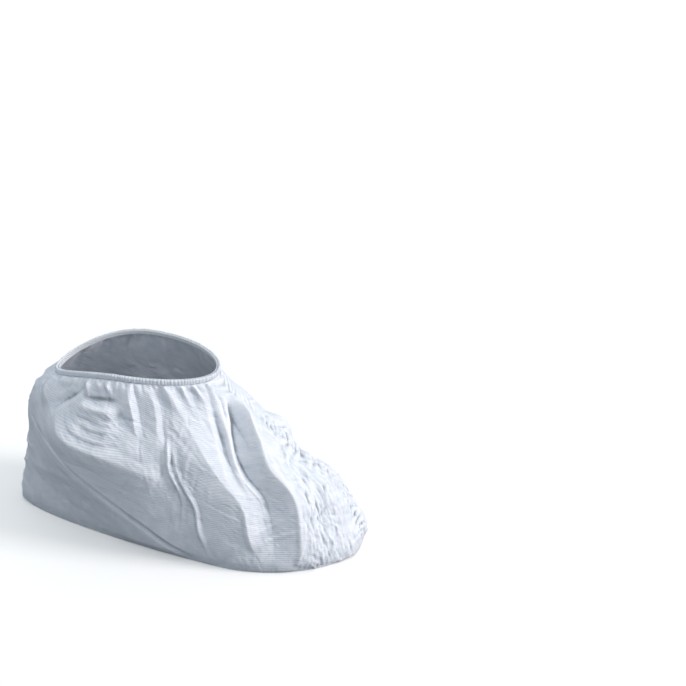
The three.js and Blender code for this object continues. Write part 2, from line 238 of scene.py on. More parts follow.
# Folds: width of the slope on the heel side and on the toe side, pinch, and a line like those above. On a
# line that runs level towards the toe, the heel side is below.
OUTER_FOLDS = [
    # Heel facet below the tension fold, the fold itself and the dark line under it
    (46, 110, 1, [(90, 38, 0), (78, 48, 3.5), (66, 68, 4.5), (52, 85, 2.5), (45, 94, 0)]),
    (6, 36, 1, [
        (90, 31, 0), (83, 33, 1.4), (77, 37, 2.2), (73, 43, 2.6), (69, 52, 2.8), (63, 63, 2.8),
        (56, 74, 2.6), (49, 84, 2), (44, 91, 0),
    ]),
    (4, 5, 1, [
        (90, 34, 0), (83, 36.5, -1.6), (77, 40.5, -2.4), (73, 46.5, -2.8), (69, 55.5, -3), (63, 66.5, -3),
        (56, 77.5, -3), (49, 87, -2.2), (45, 93, 0),
    ]),
    # Light flat above the heel: its edge, the valley below it and a soft line on it
    (9, 17, 1, [(86, 0, 0.6), (86, 6, 4), (85, 12, 6), (81, 17, 3), (77, 22, 0)]),
    (4, 6, 1.2, [(79, 20, -0.6), (76, 13, -2.8), (71, 8, -2.4), (68, 3, -0.5)]),
    (4, 4, 1, [(81, 8, -0.2), (76, 6, -0.9), (71, 4, -0.2)]),
    # Puffs under the hem, the groove below them and the flat fold
    (3.5, 4, 1, [(68, 1, 1.5), (66, 5, 2.8), (65, 8, 0.8)]),
    (3, 3.5, 1, [(62, 1, 1.4), (61, 4, 2.6), (60, 7, 0.6)]),
    (2.8, 3.5, 1, [(58, 1, 1.2), (57, 4, 2.4), (55, 7, 0.6)]),
    (2.5, 2.5, 1.3, [(68, 9, -0.2), (62, 8.5, -0.7), (56, 8, -0.7), (53, 8, -0.2)]),
    (8, 8, 1, [(69, 11.5, 1.2), (64, 12, 5.4), (57, 12, 5.4), (52, 12.5, 0.8)]),
    # Pocket: its swell, its edge and the arcs inside that edge
    (80, 32, 1, [
        (78, 14, 0), (75, 20, 8), (71, 26, 13), (64, 30, 13), (56, 33, 10), (49, 40, 6), (43, 48, 0),
    ]),
    (18, 9, 1, [(76, 19, 0.2), (72, 25, 3), (67, 29, 4), (60, 31, 3.4), (54, 37, 2), (47, 46, 0.1)]),
    (2, 7, 1, [(71, 18, 0.3), (68, 22, 1.6), (64, 24.5, 1.8), (59, 25.5, 1.3), (54, 26, 0.2)]),
    (2, 6, 1, [(69, 16, 0.2), (64, 19.5, 1.5), (60, 20.5, 1.5), (54, 20, 0.2)]),
    (1.8, 5, 1, [(66, 14.5, 0.2), (63, 16, 1.1), (58, 17, 1.1), (53, 16, 0.2)]),
    # Dark facet before the first pleat
    (9, 7, 1, [(53, 9, -0.4), (51, 14, -2.2), (48, 20, -1.6), (46, 27, -0.2)]),
    # Pleats below the hem and the valleys after them
    (12, 5, 1, [(48.5, 0, 0.8), (48, 6, 3.8), (47.3, 12, 4.2), (47.4, 18, 3.4), (47, 25, 0.4)]),
    (14, 4.5, 1, [(41, 0, 0.6), (38.5, 7, 2), (39, 13, 2.2), (40, 20, 1.9), (39.5, 30, 0.3)]),
    (6, 6, 1, [(34, 0, -0.4), (35, 10, -1), (38, 20, -1), (39, 27, -0.3)]),
    (6, 4, 1, [(31, 0, 0.6), (30, 5, 1.8), (30, 11, 0.3)]),
    # Needle creases in the middle of the side
    (1.6, 2.8, 1, [(37, 20, 0.4), (39, 29, 2), (41, 38, 1.6), (42, 47, 2), (46, 62, 1), (47, 70, 0.1)]),
    (1.6, 3, 1, [(37, 26, 0.3), (39, 40, 1.3), (42, 58, 2), (43, 72, 1.9), (41, 86, 0.2)]),
    (3, 3, 1.2, [(31, 28, 0.1), (35, 35, 0.7), (39, 46, 0.3)]),
    (6, 5, 1, [(42, 30, -0.3), (44, 42, -1.2), (45, 55, -0.9), (47, 67, -0.2)]),
    # Bright band: its ridge, the step at its foot and two streaks at its head
    (34, 14, 1, [
        (31, 0, 0.8), (29.5, 13, 2.5), (29, 28, 5.2), (28.5, 42, 6.7), (30, 57, 6), (31, 71, 4),
        (30, 80, 0.6),
    ]),
    (3.5, 9, 1, [(30, 57, 0.2), (31, 68, 2), (31, 75, 2), (30, 80, 0.6)]),
    (6, 5, 1, [(26, 0, -0.4), (25, 7, -1.2), (26, 15, -0.2)]),
    (5, 4, 1, [(22, 0, -0.3), (21, 5, -1.2), (24, 13, -0.1)]),
    # Dark valley along the band and the bright ridge beside it
    (6, 4, 1, [(14, 5, -1), (18, 16, -3), (20, 24, -3.2), (22, 33, -3), (24, 43, -2.2), (27, 54, -0.4)]),
    (3.5, 7, 1, [
        (14.5, 9, 0.5), (16.8, 16, 2.4), (18.8, 24, 2.6), (21.3, 33, 2.2), (23.5, 45, 1.2), (26, 53, 0.2),
    ]),
    # Short creases under the hem
    (2.4, 2.4, 1, [(16, 0, -0.3), (14, 1, -1.3), (13, 4, -0.3)]),
    (2.2, 2.2, 1, [(11, 0, -0.3), (12, 4, -0.8)]),
    (1.8, 2.2, 1, [(12, 5, -0.3), (11, 9, -1.4), (13, 13, -1.4), (15, 17, -0.2)]),
    # Valley behind the toe, steep at its head, and the toe's ridge with its crest
    (4, 10, 1, [
        (9, 10, 0), (10.5, 14, -4), (12.5, 18, -5.5), (15.8, 24, -4.5), (18.5, 32, -1.5), (20, 40, 0),
    ]),
    (4, 17, 1, [
        (13, 18, 0), (15.8, 25, -3), (18.5, 32, -5.5), (20.2, 41, -6.5), (22.5, 52, -5), (25, 64, 0),
    ]),
    (7, 20, 1, [(4.8, 9, 1), (6.4, 13, 7.5), (9.2, 20, 9.5), (11.4, 28, 6), (13, 36, 0)]),
    (20, 22, 1, OUTER_TOE_RIDGE),
    (3.5, 5, 1, [(10, 31, 0.1), (15, 49, 0.9), (18.5, 68, 1.2), (19.5, 88, 0.5)]),
    # Light lines on the flat below
    (2.2, 2.2, 1, [(30, 71, 0.1), (26, 68, 0.6), (22, 65, 0.1)]),
    (2.4, 2.4, 1, [(29, 76, 0.2), (25, 73, 0.8), (20, 71, 0.3)]),
    # Dents and a hooked crease on the toe
    (8, 8, 1, [(6, 49, -0.4), (9, 57, -1.6), (12, 65, -0.3)]),
    (5, 5, 1, [(8, 47, -0.2), (9, 50, -1.2), (11, 54, -0.3)]),
    (2.2, 2.2, 1, [(14, 54, -0.2), (14, 58, -0.9), (13, 60, -0.1)]),
    # Creases at the heel
    (3, 3, 1.2, [(91, 32, -0.3), (89, 34, -1.3), (87, 36, -0.3)]),
    (4, 5, 1, [(100, 11, -0.4), (95, 5, -1.4), (89, 0, -0.3)]),
    (4, 5, 1, [(94, 13, -0.3), (91, 8, -1.4), (90, 4, -0.3)]),
]
INNER_FOLDS = [
    # Heel facet and tension fold
    (44, 44, 1, [(84, 38, 1), (74, 55, 4), (64, 76, 3.5), (57, 92, 0.5)]),
    (5, 26, 1, [(84, 38, 0.8), (76, 52, 2.2), (69, 66, 2.2), (62, 80, 1.5), (57, 92, 0.2)]),
    # Pocket below the hem
    (24, 8, 1, [(72, 20, 0.6), (66, 30, 2.6), (58, 36, 2.2), (50, 42, 1.2)]),
    # Pleats
    (8, 6, 1, [(60, 2, 0.6), (58, 12, 2.0), (56, 22, 0.4)]),
    (9, 6, 1, [(48, 2, 0.6), (46, 14, 2.4), (44, 28, 0.5)]),
    (10, 7, 1, [(37, 2, 0.6), (35, 18, 2.6), (32, 38, 2.2), (30, 60, 0.6)]),
    # Band, valley and toe ridge
    (26, 15, 1, [(28, 2, 0.6), (25, 20, 3), (22, 42, 5.5), (20, 62, 5.5), (19, 80, 2.5), (18, 93, 0.4)]),
    (9, 8, 1, [(21, 8, -0.6), (18, 30, -3), (16, 52, -3.4), (15, 72, -1.6), (15, 84, -0.3)]),
    (16, 14, 1, INNER_TOE_RIDGE),
    # Beside the front seam, from the hem down: a lobe, an ear, a notch and the toe's edge
    (18, 16, 1, [(12, 5, 1), (12, 17, 3.6), (12, 26, 2.8), (11, 34, 0.2)]),
    (14, 14, 1, [(11, 33, 0.4), (11, 39, 6.5), (11, 43, 5.5), (11, 48, 0.2)]),
    (13, 13, 1, [(11, 46, -0.4), (11, 51, -7), (11, 56, -6), (10, 62, -0.6)]),
    (15, 15, 1, [(10, 62, 0.3), (9, 68, 1.8), (8, 77, 1), (8, 86, 0.2)]),
]

# View of the photograph, which is square
PHOTO_PIXELS = 686
VIEW_AZIMUTH = 16.5
VIEW_ELEVATION = 30
VIEW_DISTANCE = 2600
PIXELS_PER_MM = 1.2
ORIGIN_PIXEL = (190.0, 520.5)
SENSOR_WIDTH = 36

# Light
KEY_FROM = (0.93, 0.06, 0.36)
KEY_SPREAD = 18
KEY_STRENGTH = 1.98
KEY_COLOUR = (1.0, 0.96, 0.965)
TOP_FROM = (0.1, -0.25, 1.0)
TOP_SPREAD = 60
TOP_STRENGTH = 0.5
SKY_COLOUR = (0.82, 0.92, 1.0, 1)
SKY_STRENGTH = 0.6
FLOOR_SIZE = 14000
FLOOR_LEVEL = -0.3
FLOOR_ROUGHNESS = 0.9
FLOOR_SEEN = (1.0, 0.98, 0.95, 1)
FLOOR_BOUNCE = (0.21, 0.22, 0.24, 1)
FLOOR_GLOW = 0.16

# Colour sockets of a mix node, by number
MIX_FIRST = 6
MIX_SECOND = 7
MIX_RESULT = 2

# Cloth surface
WAVE_UNIT = math.pi / 10
RIB_PITCH = 1.8
RIB_HEIGHT = 0.12
RIB_WAVER = {"Distortion": 1.6, "Detail": 2, "Detail Scale": 0.6}
FIBRE_HEIGHT = 0.1
CRINKLE_HEIGHT = 1.3
UPRIGHT_HEIGHT = 1.2
UPRIGHT_STRETCH = 0.3
CLOTH_ROUGHNESS = 0.6
CLOTH_SPECULAR = 0.35

# Point values that the cloth's surface reads; the last is a painted shade in creases and a painted highlight
# on ridges
AMOUNTS = ("crumple", "upright", "valley")

# Noises: scale, detail and roughness
FIBRES = (190, 3, 0.5)
CLOUDS = (9, 4, 0.6)
CRINKLES = (18, 3, 0.55)
UPRIGHTS = (34, 2, 0.5)
KNIT_FUZZ = (120, 3, 0.5)
TWIST_FUZZ = (900, 2, 0.5)

# Shares of the noises and bands in the tones
FIBRE_TONE = 0.35
CLOUD_TONE = 0.65
KNIT_TONE = 0.4
KNIT_FUZZ_TONE = 0.7
TWIST_TONE = 0.4
TWIST_FUZZ_TONE = 0.6

# Colours, and the part of the tone that they span
CLOTH_DARK = (0.74, 0.78, 0.84, 1)
CLOTH_LIGHT = (0.89, 0.9, 0.94, 1)
# Seam allowances: the same cloth in darker tones, a painted shade inside the seams
SEAM_DARK = (0.68, 0.72, 0.77, 1)
SEAM_LIGHT = (0.82, 0.85, 0.89, 1)
ELASTIC_DARK = (0.72, 0.73, 0.74, 1)
ELASTIC_LIGHT = (0.9, 0.9, 0.89, 1)
THREAD_DARK = (0.76, 0.78, 0.8, 1)
THREAD_LIGHT = (0.93, 0.93, 0.92, 1)
TONE_FROM = 0.38
TONE_TO = 0.62
DEEP_SHADE = 0.45
HIGHLIGHT = 0.6
# Strength of the painted shade in creases and painted highlight on ridges, by valley depth in millimetres
VALLEY_SHADE = 0.45

# Knit of the elastic and twist of the thread
LOOP_PITCH = 1.1
CORD_PITCH = 0.85
LOOP_HEIGHT = 0.12
ELASTIC_ROUGHNESS = 0.75
TWIST_PITCH = 0.5
THREAD_ROUGHNESS = 0.45


# Arrays
def unit(values):
    """Values held between 0 and 1."""
    return np.clip(values, 0, 1)


def unit_length(vectors):
    return vectors / np.linalg.norm(vectors, axis=-1, keepdims=True)


def gone_along(points):
    """Length of a line so far, at each of its points."""
    return np.concatenate([[0], np.cumsum(np.linalg.norm(np.diff(points, axis=0), axis=-1))])


# The wall's smooth form
def spline(values, share):
    """Smooth curve through evenly spaced values, at a share of its length."""
    last = len(values) - 1
    place = np.clip(np.asarray(share, float) * last, 0, last - TINY)
    row = place.astype(int)
    k = place - row
    before = values[np.maximum(row - 1, 0)]
    start = values[row]
    end = values[np.minimum(row + 1, last)]
    after = values[np.minimum(row + 2, last)]
    cubic = 3 * (start - end) + after - before
    square = 2 * before - 5 * start + 4 * end - after
    return start + 0.5 * k * (end - before + k * (square + k * cubic))


def ring(column, t):
    """A column of the rings at t, 0 at the hem and 1 at the edge of the sole."""
    return spline(RINGS[:, RING_COLUMNS.index(column)], t)


def loop_point(angle, t):
    """Point of a ring: angle 0 is foremost, the inner side positive and the outer one negative."""
    forward = np.cos(angle)
    sideways = np.abs(np.sin(angle))
    ahead = forward > 0
    inside = angle > 0
    mid = ring("mid_x", t)
    reach = np.where(ahead, ring("front_x", t) - mid, mid - ring("back_x", t))
    half = np.where(inside, ring("inner_y", t), ring("outer_y", t))
    toe_power = np.where(inside, ring("inner_toe", t), ring("outer_toe", t))
    heel_power = np.where(inside, ring("inner_heel", t), ring("outer_heel", t))
    power = np.where(ahead, toe_power, heel_power)
    waist = np.where(ahead | inside, 0, ring("waist", t) * sideways * sideways * -forward)
    y = np.where(inside, 1, -1) * (half * sideways ** power - waist)
    side_z = ring("side_z", t)
    end_z = np.where(ahead, ring("front_z", t), ring("back_z", t))
    return np.stack([mid + reach * forward, y, side_z + (end_z - side_z) * forward * forward], -1)


def smooth_wall(u, t, side):
    """Points of one half of the wall: u is the share of the way from front seam to heel."""
    shares = np.linspace(0, 1, LOOP_SAMPLES)
    rows = np.unique(t)
    angles = np.empty_like(u)
    for row in rows:
        start = math.radians(float(ring("seam_turn", row)))
        line = start + shares * (side * math.pi - start)
        gone = gone_along(loop_point(line, np.full_like(line, row)))
        here = t == row
        angles[here] = np.interp(SEAM_EDGE + u[here] * (gone[-1] - 2 * SEAM_EDGE), gone, line)
    return loop_point(angles, t)


def grid_normals(points, side):
    """Outward unit normals of a grid of points."""
    along = np.gradient(points, axis=0)
    down = np.gradient(points, axis=1)
    normals = np.cross(along, down) * -side
    return normals / np.maximum(np.linalg.norm(normals, axis=-1, keepdims=True), TINY)


class Wall:
    """One half of the cover's wall as a grid, with its distances along and down."""

    def __init__(self, side):
        self.side = side
        self.u, self.t = np.meshgrid(
            np.linspace(0, 1, COLUMNS + 1), np.linspace(0, 1, WALL_ROWS + 1), indexing="ij",
        )
        self.points = smooth_wall(self.u, self.t, side)
        self.normals = grid_normals(self.points, side)
        self.x = self.points[..., 0]
        self.z = self.points[..., 2]
        self.along = self.distance(0)
        self.down = self.distance(1)
        self.length = self.along[-1:, :]
        self.across = np.gradient(self.along, axis=0) * COLUMNS
        self.ahead = unit_length(np.gradient(self.points, axis=0))
        self.cell = np.gradient(self.along, axis=0) * np.gradient(self.down, axis=1)

    def at(self, u, t):
        """Points of the wall between those of the grid."""
        i = np.clip(u * COLUMNS, 0, COLUMNS - LAST_CELL)
        j = np.clip(t * WALL_ROWS, 0, WALL_ROWS - LAST_CELL)
        column = i.astype(int)
        row = j.astype(int)
        on = (i - column)[:, None]
        below = (j - row)[:, None]
        upper = self.points[column, row] * (1 - on) + self.points[column + 1, row] * on
        lower = self.points[column, row + 1] * (1 - on) + self.points[column + 1, row + 1] * on
        return upper * (1 - below) + lower * below

    def distance(self, axis):
        """Distance from the first point along a direction of the grid."""
        steps = np.linalg.norm(np.diff(self.points, axis=axis), axis=-1)
        padding = ((1, 0), (0, 0)) if axis == 0 else ((0, 0), (1, 0))
        return np.cumsum(np.pad(steps, padding), axis=axis)


# Relief of the cloth over the smooth form
def ridge(distance, width, rounding):
    """Straight-sided ridge of height 1 with a slightly rounded crest."""
    soft = np.sqrt(distance * distance + rounding * rounding) - rounding
    return unit(1 - soft / width)


def fold_relief(wall, folds):
    """Sum of the folds that are drawn as lines on the wall."""
    total = np.zeros_like(wall.x)
    for heel_width, toe_width, pinch, line in folds:
        corners = np.array(line, float)
        steps = np.linspace(0, 1, FOLD_STEPS * (len(line) - 1) + 1)
        shares = np.stack([spline(corners[:, k], steps) for k in range(3)], -1)
        places = wall.at(shares[:, 0] / PERCENT, shares[:, 1] / PERCENT)
        reach = max(heel_width, toe_width)
        near = np.all((wall.points > places.min(0) - reach) & (wall.points < places.max(0) + reach), -1)
        points = wall.points[near]
        normals = wall.normals[near]
        nearest = np.full(len(points), np.inf)
        height = np.zeros(len(points))
        weights = np.zeros(len(points))
        toe_side = np.zeros(len(points), bool)
        for start, end, low, high in zip(places, places[1:], shares[:, 2], shares[1:, 2]):
            run = end - start
            away = points - start
            k = unit(away @ run / max(run @ run, TINY))
            distance = np.linalg.norm(away - k[:, None] * run, axis=-1)
            closer = distance < nearest
            nearest = np.where(closer, distance, nearest)
            weight = (distance * distance + 1) ** -HEIGHT_FOCUS
            height += weight * (low + k * (high - low))
            weights += weight
            turn = np.einsum("ij,ij->i", np.cross(run, away), normals) * -wall.side
            toe_side = np.where(closer, turn > 0, toe_side)
        width = np.where(toe_side, toe_width, heel_width)
        total[near] += height / weights * ridge(nearest, width, CREASE_ROUNDING) ** pinch
    return total


def pleat_relief(wall, draw):
    """Gathers that the elastic makes: fine ones, and longer pleats."""
    total = np.zeros_like(wall.x)
    for start in np.cumsum(draw.uniform(*GATHER_SPACINGS, GATHERS) / GATHERS):
        height = draw.uniform(*GATHER_HEIGHTS)
        reach = draw.uniform(*GATHER_REACHES)
        off = (wall.u - start) * wall.across
        total += height * ridge(off, GATHER_WIDTH, CREASE_ROUNDING) * unit(1 - wall.down / reach)
    for _ in range(PLEATS):
        start = draw.uniform(*PLEAT_PLACES)
        lean = draw.normal(0, PLEAT_LEAN)
        reach = draw.uniform(*PLEAT_REACHES)
        if draw.random() < LONG_PLEAT_SHARE:
            reach *= LONG_PLEAT_STRETCH
        height = draw.uniform(*PLEAT_HEIGHTS)
        width = draw.uniform(*PLEAT_WIDTHS) + PLEAT_WIDENING * wall.down
        off = (wall.u - start - lean * wall.down) * wall.across
        fade = unit(1 - wall.down / reach) ** PLEAT_FADE
        total += height * ridge(off, width, CREASE_ROUNDING) * fade
    return total


def pucker_relief(wall, from_seam, draw, pitch, reach, height):
    """Short ridges that the stitches of a seam draw into the cloth beside it."""
    total = np.zeros_like(wall.x)
    place = PUCKER_FIRST
    while place < PUCKER_LAST:
        length = draw.uniform(*PUCKER_LENGTHS) * reach
        rise = draw.uniform(*PUCKER_RISES) * height
        slope = draw.normal(0, PUCKER_SLOPE)
        width = draw.uniform(*PUCKER_WIDTHS) + PUCKER_WIDENING * from_seam
        off = wall.down - place - slope * from_seam
        total += rise * ridge(off, width, CREASE_ROUNDING) * unit(1 - from_seam / length)
        place += draw.uniform(*PUCKER_SPACINGS) * pitch
    return total


def crumple_relief(wall, draw, patches, row):
    """Scattered straight creases, raised or sunk; a bearing of 90 runs from hem to sole."""
    patch, count, bearing, spread, length, width, height = row
    total = np.zeros_like(wall.x)
    odds = (patches[patch] * wall.cell).ravel()
    centres = draw.choice(odds.size, size=count, p=odds / odds.sum())
    for centre in centres:
        i, j = np.unravel_index(centre, total.shape)
        angle = math.radians(draw.normal(bearing, spread))
        half = draw.uniform(*CREASE_LENGTHS) * length
        slope_width = draw.uniform(*CREASE_WIDTHS) * width
        rise = draw.normal(0, 1) * height
        ahead = wall.ahead[i, j]
        lower = np.cross(wall.normals[i, j], ahead) * wall.side
        run = ahead * math.cos(angle) + lower * math.sin(angle)
        across = np.cross(wall.normals[i, j], run)
        away = wall.points - wall.points[i, j]
        lengthwise = away @ run
        facing = wall.normals @ wall.normals[i, j] > 0
        window = unit(1 - (lengthwise / half) ** 2) * facing
        total += rise * ridge(away @ across, slope_width, CRINKLE_ROUNDING) * window
    return total


def crushed_relief(wall, draw, spacing, stretch):
    """Facets of crushed paper: dished cells less domed ones, stretched down the wall."""
    total = np.zeros_like(wall.x)
    odds = wall.cell.ravel() / wall.cell.sum()
    count = int(wall.cell.sum() / (spacing * spacing * stretch))
    for sign in (1, -1):
        nearest = np.full(total.shape, np.inf)
        for centre in draw.choice(odds.size, size=count, p=odds):
            i, j = np.unravel_index(centre, total.shape)
            away = wall.points - wall.points[i, j]
            level = away @ wall.ahead[i, j]
            out = away @ wall.normals[i, j]
            lower = away @ np.cross(wall.normals[i, j], wall.ahead[i, j]) / stretch
            nearest = np.minimum(nearest, level * level + lower * lower + out * out)
        total += sign * np.minimum(nearest / (spacing * spacing), 1)
    return total


def blob(wall, x, z, radius_x, radius_z):
    """Soft patch in side view, 1 at its middle."""
    return np.exp(-((wall.x - x) / radius_x) ** 2 - ((wall.z - z) / radius_z) ** 2)


def toe_part(wall):
    """1 on the toe, ahead of its ridge, and 0 behind it."""
    edge = np.array(OUTER_TOE_RIDGE if wall.side == OUTER else INNER_TOE_RIDGE) / PERCENT
    ahead = (np.interp(wall.t, edge[:, 1], edge[:, 0]) - wall.u) * wall.length
    return unit(ahead / TOE_EDGE) * unit((wall.t - TOE_TOP) / TOE_TOP_FADE)


def cloth_crumple(wall):
    """How crushed the cloth is, from the heel to the toe and in the pocket."""
    front = unit((FRONT_EDGE - wall.u) / FRONT_FADE)
    most = np.maximum(toe_part(wall), blob(wall, *CRUSHED_PATCH))
    return CRUMPLE_LEAST + np.maximum(CRUMPLE_FRONT * front, CRUMPLE_MOST * most)


def by_toe_ridge(wall):
    """Soft patch just ahead of the lower part of the toe's ridge."""
    round_patch = np.exp(-((wall.along - UPRIGHT_FROM_SEAM) / UPRIGHT_REACH) ** 2)
    return toe_part(wall) * round_patch * unit((wall.t - UPRIGHT_TOP) / UPRIGHT_TOP_FADE)


def cloth_upright(wall):
    """How many fine upright crinkles the cloth has."""
    by_seam = np.exp(-(wall.along / UPRIGHT_REACH) ** 2)
    on_toe = UPRIGHT_ON_TOE * toe_part(wall) + UPRIGHT_BY_RIDGE * by_toe_ridge(wall)
    return np.maximum(on_toe, UPRIGHT_BY_SEAM * by_seam)


def seam_wander(wall):
    """Sideways moves, alike for both halves, that make the sewn edges jagged."""
    draw = np.random.default_rng(WANDER_SEED)
    total = np.zeros_like(wall.x)
    for from_seam in (wall.along, wall.length - wall.along):
        places = np.arange(0, wall.down.max() + SEAM_WANDER_STEP, SEAM_WANDER_STEP)
        moves = np.interp(wall.down, places, draw.normal(0, SEAM_WANDER, len(places)))
        total += moves * np.exp(-(from_seam / SEAM_WANDER_REACH) ** 2)
    return total * wall.side * unit((1 - wall.t) / SOLE_EDGE_FADE)


def cloth_relief(wall):
    """All the relief of one half of the cover."""
    draw = np.random.default_rng(OUTER_SEED if wall.side == OUTER else INNER_SEED)
    from_heel = wall.length - wall.along
    from_seam = np.minimum(wall.along, from_heel)
    near_seam = np.exp(-(from_seam / SEAM_VALLEY_WIDTH) ** 2)
    from_hem = unit(wall.down / HEM_FADE)
    from_sole = unit((1 - wall.t) / SOLE_FADE)
    at_sole = unit((1 - wall.t) / SOLE_EDGE_FADE)
    folds = fold_relief(wall, OUTER_FOLDS if wall.side == OUTER else INNER_FOLDS)
    pleats = pleat_relief(wall, draw)
    seam_draw = np.random.default_rng(PUCKER_SEED)
    front = pucker_relief(wall, wall.along, seam_draw, *FRONT_PUCKERS)
    heel = pucker_relief(wall, from_heel, seam_draw, *HEEL_PUCKERS)
    patches = {
        "everywhere": np.ones_like(wall.x),
        "toe": toe_part(wall),
        "pocket": blob(wall, *POCKET_PATCH),
        "middle": blob(wall, *MIDDLE_PATCH),
        "by_ridge": by_toe_ridge(wall),
    }
    crumple = np.zeros_like(wall.x)
    for row in CREASES:
        crumple += crumple_relief(wall, draw, patches, row)
    for patch, spacing, stretch, least, more in FACETS:
        height = least + more * np.maximum(patches["toe"], patches[patch])
        crumple += height * crushed_relief(wall, draw, spacing, stretch)
    crumple += crumple_relief(wall, draw, patches, TOE_RIDGE_CREASES)
    long_folds = (folds * (1 - near_seam) - SEAM_VALLEY * near_seam) * from_hem * from_sole
    off_seam = unit(from_seam / SEAM_FADE)
    under_hem = unit(wall.down / HEM_EDGE)
    return long_folds + (front + heel + (pleats + crumple) * off_seam) * at_sole * under_hem


def neighbour_mean(values):
    """Mean of a grid of values over the places near each one."""
    for axis in (0, 1):
        moved = []
        for step in range(-VALLEY_REACH, VALLEY_REACH + 1):
            places = np.clip(np.arange(values.shape[axis]) + step, 0, values.shape[axis] - 1)
            moved.append(np.take(values, places, axis=axis))
        values = np.mean(moved, axis=0)
    return values


# Meshes
def select(obj):
    bpy.ops.object.select_all(action="DESELECT")
    obj.select_set(True)
    bpy.context.view_layer.objects.active = obj


def grid_sheet(name, points, flat):
    """Grid primitive carried onto points, with flat lengths of cloth as its UV map."""
    columns, rows = points.shape[0] - 1, points.shape[1] - 1
    bpy.ops.mesh.primitive_grid_add(x_subdivisions=columns, y_subdivisions=rows, size=1.0)
    obj = bpy.context.active_object
    mesh = obj.data
    obj.name = name
    mesh.name = name
    places = np.empty(len(mesh.vertices) * 3)
    mesh.vertices.foreach_get("co", places)
    places = places.reshape(-1, 3)
    i = np.rint((places[:, 0] + 0.5) * columns).astype(int)
    j = np.rint((places[:, 1] + 0.5) * rows).astype(int)
    mesh.vertices.foreach_set("co", np.ascontiguousarray(points[i, j], np.float32).ravel() * MM)
    mesh.update()
    corners = np.empty(len(mesh.loops), int)
    mesh.loops.foreach_get("vertex_index", corners)
    mesh.uv_layers.active.data.foreach_set("uv", (flat[i, j][corners] / UV_UNIT).ravel())
    return obj, (i, j)


def apply_modifiers(obj):
    select(obj)
    for modifier in list(obj.modifiers):
        bpy.ops.object.modifier_apply(modifier=modifier.name)


def edit(obj, *steps):
    """Runs edit-mode operators on the whole of a mesh."""
    select(obj)
    bpy.ops.object.mode_set(mode="EDIT")
    bpy.ops.mesh.select_all(action="SELECT")
    for step in steps:
        step()
    bpy.ops.object.mode_set(mode="OBJECT")


def merge_doubles():
    bpy.ops.mesh.remove_doubles(threshold=MERGE_DISTANCE)


def face_outwards():
    bpy.ops.mesh.normals_make_consistent(inside=False)


def cloth_skin(side):
    """Wall of one half, its skin with all relief, and how deep each point lies in a valley, which paints
    shade into creases and a highlight onto ridges.
    """
    wall = Wall(side)
    relief = cloth_relief(wall)
    skin = wall.points + wall.normals * relief[..., None]
    skin += wall.ahead * seam_wander(wall)[..., None]
    skin[..., 2] = np.maximum(skin[..., 2], 0)
    skin[:, -1, 2] = 0
    # Painted shade and highlight: depth below the neighbours' mean, positive in creases and negative on
    # ridges
    return wall, skin, neighbour_mean(relief) - relief


def clear_values(obj, attribute, start):
    """Sets a point attribute to nothing from one point on."""
    data = obj.data.attributes[attribute].data
    values = np.zeros(len(data), np.float32)
    data.foreach_get("value", values)
    values[start:] = 0
    data.foreach_set("value", values)


def half_cover(name, wall, skin, valley):
    """One half of the cover: the wall's skin and half of the sole, thickened inwards."""
    inwards = np.arange(1, SOLE_ROWS + 1) / SOLE_ROWS
    edge = skin[:, -1:, :]
    sole = np.repeat(edge, SOLE_ROWS, axis=1)
    sole[..., 1] = wall.side * SEAM_EDGE + (edge[..., 1] - wall.side * SEAM_EDGE) * (1 - inwards)
    points = np.concatenate([skin, sole], axis=1)
    flat_down = np.concatenate([wall.down - wall.down[:, -1:], np.abs(edge[..., 1] - sole[..., 1])], axis=1)
    flat_along = np.concatenate([wall.along, np.repeat(wall.along[:, -1:], SOLE_ROWS, axis=1)], axis=1)
    obj, order = grid_sheet(name, points, np.stack([flat_along, flat_down], -1))
    # Crumple and upright feed the bumps; the third value paints shade into creases and a highlight onto
    # ridges
    for kind, amount in zip(AMOUNTS, (cloth_crumple(wall), cloth_upright(wall), valley)):
        values = np.concatenate([amount, np.zeros_like(sole[..., 0])], axis=1)[order]
        obj.data.attributes.new(kind, "FLOAT", "POINT").data.foreach_set("value", values.astype(np.float32))
    edit(obj, merge_doubles)
    middle = Vector((0, 0, BODY_MIDDLE * MM))
    outward = sum((face.center - middle).dot(face.normal) * face.area for face in obj.data.polygons)
    if outward < 0:
        edit(obj, bpy.ops.mesh.flip_normals)
    skin_count = len(obj.data.vertices)
    thickness = obj.modifiers.new("thickness", "SOLIDIFY")
    thickness.thickness = CLOTH * MM
    thickness.offset = -1
    apply_modifiers(obj)
    # No painted shade or highlight on the lining
    clear_values(obj, "valley", skin_count)
    lining = obj.vertex_groups.new(name="lining")
    lining.add(list(range(skin_count, len(obj.data.vertices))), 1.0, "REPLACE")
    thinner = obj.modifiers.new("thinner", "DECIMATE")
    thinner.ratio = KEPT_SHARE
    thinner.vertex_group = lining.name
    apply_modifiers(obj)
    obj.vertex_groups.clear()
    bpy.ops.object.shade_smooth()
    return obj


def closed_form(name, points, along, around):
    """Ring or bar from a grid whose meeting edges are merged, with its flat lengths along and around."""
    section = np.linspace(0, around, points.shape[1])
    flat = np.stack(np.broadcast_arrays(along[:, None], section[None, :]), -1)
    obj, _ = grid_sheet(name, points, flat)
    edit(obj, merge_doubles, face_outwards)
    bpy.ops.object.shade_smooth()
    return obj


